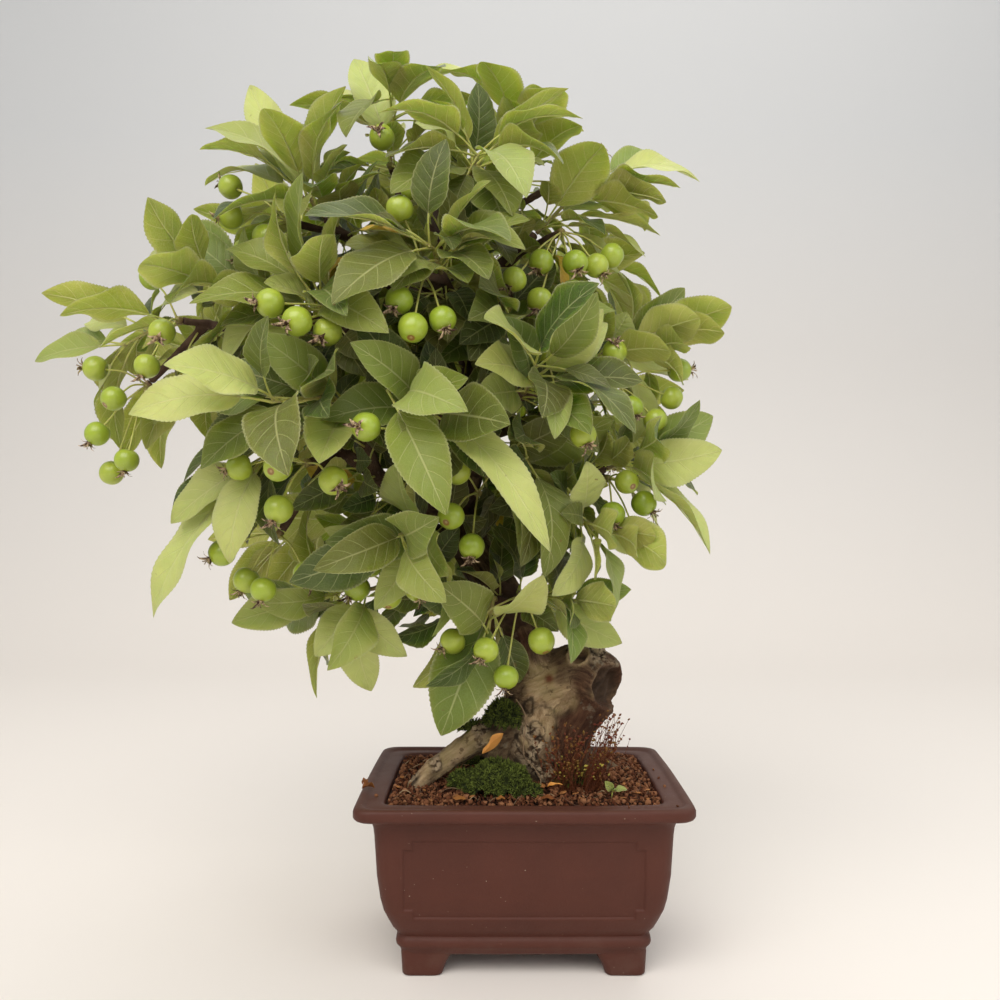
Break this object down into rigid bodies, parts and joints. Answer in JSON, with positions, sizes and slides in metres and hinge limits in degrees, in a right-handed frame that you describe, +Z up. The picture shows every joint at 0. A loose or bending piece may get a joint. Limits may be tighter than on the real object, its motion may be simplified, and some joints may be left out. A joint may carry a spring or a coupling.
{
  "type": "potted bonsai tree",
  "caption": "Crabapple bonsai with a curved trunk, surface roots, a cut-back stump, a spreading leafy crown and hanging green fruit, in an oblong unglazed brown clay pot on corner feet.",
  "frame": {"origin": "on the table that the pot's feet stand on, under the middle of the whole object's box", "axes": "+Z up; -Y towards the front, which is the long side of the pot that the picture shows; +X to the right seen from the front"},
  "size_m": [0.3846, 0.2826, 0.4912],
  "materials": {
    "clay": "unglazed purple-brown clay, satin matte",
    "screen_plastic": "black drain mesh",
    "granules": "reddish-brown baked clay granules",
    "bark": "grey-brown flaking bark",
    "leaf": "green leaves and reddish young twigs, soft sheen",
    "fruit_skin": "smooth yellow-green fruit skin, soft gloss"
  },
  "bodies": {
    "root": {"pot": "clay", "drain_screen_left": "screen_plastic", "drain_screen_right": "screen_plastic", "soil": "granules", "wood": "bark", "spray_top_left": "leaf", "spray_top_right": "leaf", "spray_upper_right": "leaf", "spray_upper_left": "leaf", "spray_left_high": "leaf", "spray_far_left": "leaf", "spray_left_front": "leaf", "spray_left_mid": "leaf", "spray_left_low": "leaf", "spray_low_front": "leaf", "spray_low_right": "leaf", "spray_right_mid": "leaf", "spray_right_high": "leaf", "spray_right_low": "leaf", "spray_front_center": "leaf", "spray_front_right": "leaf", "spray_front_upper": "leaf", "spray_front_top": "leaf", "spray_center_left": "leaf", "spray_center_low": "leaf", "spray_inner_front_high": "leaf", "spray_inner_front_low": "leaf", "spray_inner_back_high": "leaf", "spray_inner_back_low": "leaf", "spray_back_top": "leaf", "spray_back_left_high": "leaf", "spray_back_left": "leaf", "spray_back_center": "leaf", "spray_back_right_high": "leaf", "spray_back_right": "leaf", "spray_back_low": "leaf", "spray_back_low_left": "leaf", "spray_back_mid_left": "leaf", "fruit_upper_right": "fruit_skin", "fruit_top_right": "fruit_skin", "fruit_upper_left": "fruit_skin", "fruit_center_left": "fruit_skin", "fruit_front_upper": "fruit_skin", "fruit_far_left": "fruit_skin", "fruit_tip_left": "fruit_skin", "fruit_front_center": "fruit_skin", "fruit_left_low": "fruit_skin", "fruit_right_high": "fruit_skin", "fruit_front_right": "fruit_skin", "fruit_right_mid": "fruit_skin", "fruit_middle": "fruit_skin", "fruit_low_left": "fruit_skin", "fruit_left_under": "fruit_skin", "fruit_low_front": "fruit_skin", "fruit_top_left": "fruit_skin", "fruit_back_top": "fruit_skin", "fruit_back_left": "fruit_skin", "fruit_back_center": "fruit_skin", "fruit_back_right": "fruit_skin"}
  },
  "joints": []
}
